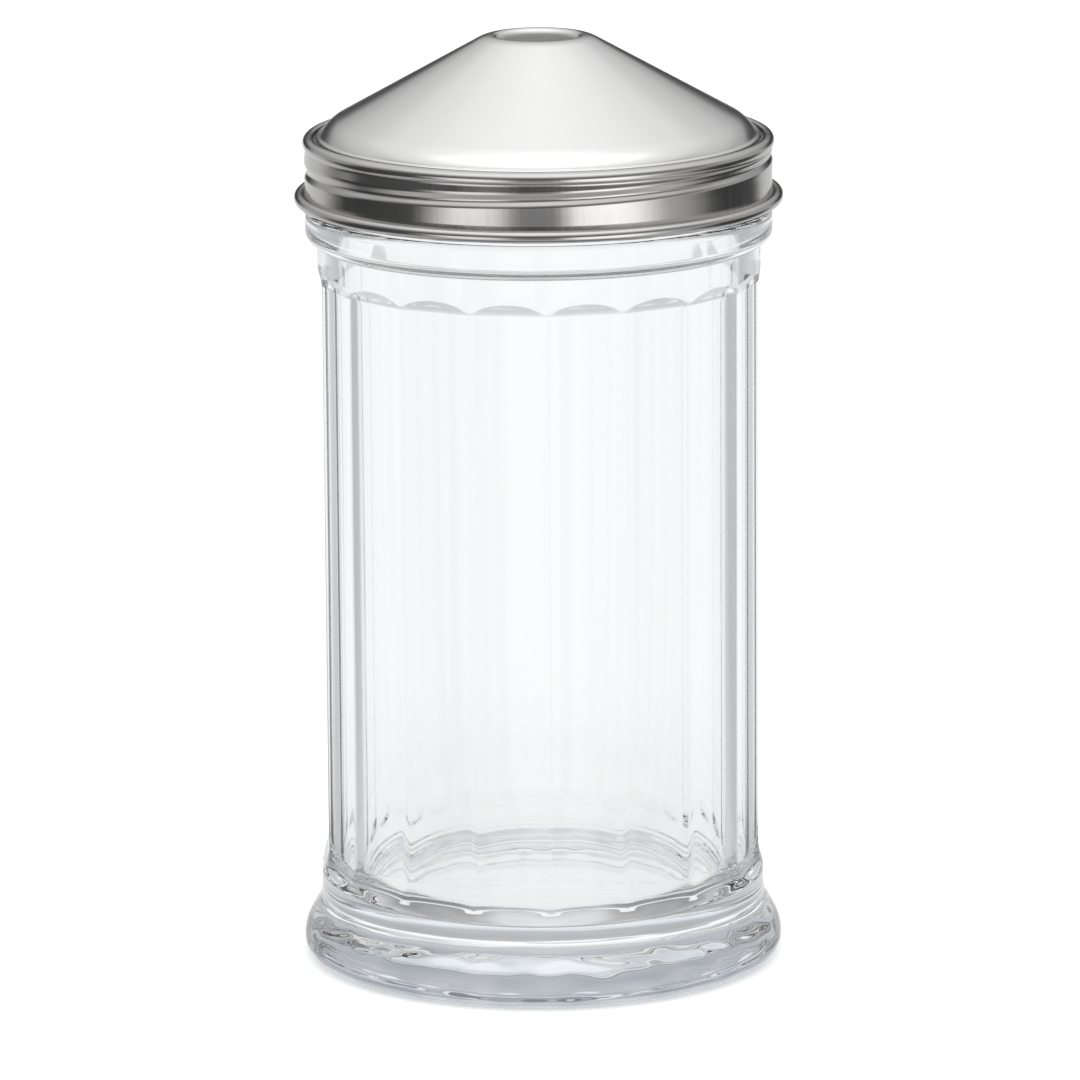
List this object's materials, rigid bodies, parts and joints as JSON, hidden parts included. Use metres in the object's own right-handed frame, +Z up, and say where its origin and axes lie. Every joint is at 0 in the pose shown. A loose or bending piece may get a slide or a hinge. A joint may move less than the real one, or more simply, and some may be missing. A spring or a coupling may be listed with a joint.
{
  "type": "sugar dispenser",
  "caption": "Panelled glass jar with a screwed steel band, a spun cone top with a centre mouth and a small gravity flap in its throat.",
  "frame": {"origin": "centre of the jar's foot, on the surface that it stands on", "axes": "+Z up along the jar's axis, through the mouth; -Y through one ridge between two panels"},
  "size_m": [0.076, 0.076, 0.1461],
  "materials": {
    "glass": "clear, fire-polished",
    "band_steel": "satin, brushed around",
    "cone_steel": "polished, spun",
    "seal_rubber": "matt white",
    "seat_steel": "turned",
    "flap_steel": "stamped",
    "pin_steel": "drawn wire"
  },
  "bodies": {
    "jar": {"jar": "glass"},
    "lid": {"cone_top": "cone_steel", "seal_ring": "seal_rubber", "flap_seat": "seat_steel", "hinge_pin": "pin_steel"},
    "band": {"screw_band": "band_steel"},
    "flap": {"flap": "flap_steel"}
  },
  "joints": [
    {"name": "lid_lift", "type": "slide", "parent": "jar", "child": "lid", "axis": [0, 0, 1], "range_m": [0, 0.024]},
    {"name": "band_turn", "type": "hinge", "parent": "lid", "child": "band", "pos_m": [0, 0, 0.125], "axis": [0, 0, 1], "range_deg": [0, 1700]},
    {"name": "flap_swing", "type": "hinge", "parent": "lid", "child": "flap", "pos_m": [0, 0.0045, 0.14178], "axis": [-1, 0, 0], "range_deg": [0, 80]}
  ],
  "couplings": [
    {"joint": "lid_lift", "follows": "band_turn", "m_per_rad": 0.00080851}
  ]
}
